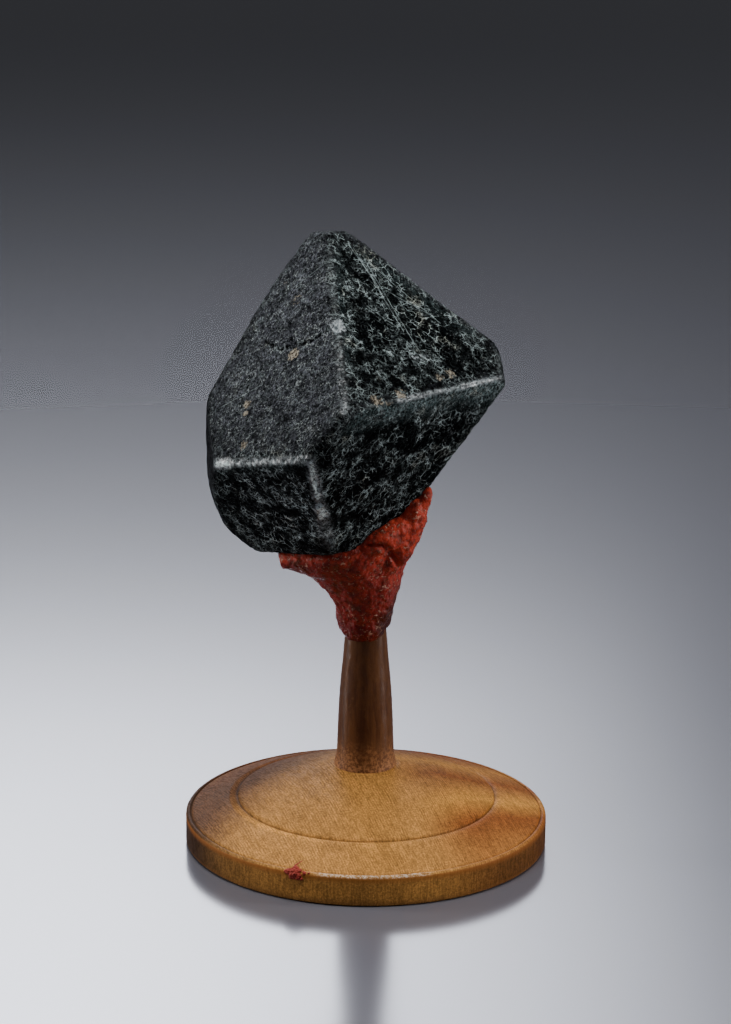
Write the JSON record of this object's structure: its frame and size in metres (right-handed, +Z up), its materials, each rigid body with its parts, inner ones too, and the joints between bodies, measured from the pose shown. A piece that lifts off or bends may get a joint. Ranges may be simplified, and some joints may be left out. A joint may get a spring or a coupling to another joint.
{
  "type": "spinel crystal on a pedestal",
  "caption": "Black octahedral spinel crystal, held in red sealing wax on a short turned wooden stem and round base.",
  "frame": {"origin": "middle of the base's flat underside", "axes": "+Z up along the stem, -Y towards the viewer of the picture, +X to the viewer's right"},
  "size_m": [0.05, 0.05, 0.0853],
  "materials": {
    "base_wood": "worn satin varnish on turned light brown wood with darker figure",
    "stem_wood": "satin dark brown stained wood",
    "wax_red": "rough, dull red sealing wax with glossy specks",
    "crystal_black": "black, satin to glossy, etched with a fine light network, edges worn bright"
  },
  "bodies": {
    "root": {"base": "base_wood", "stem": "stem_wood", "wax": "wax_red", "wax_dab": "wax_red", "crystal": "crystal_black"}
  },
  "joints": []
}
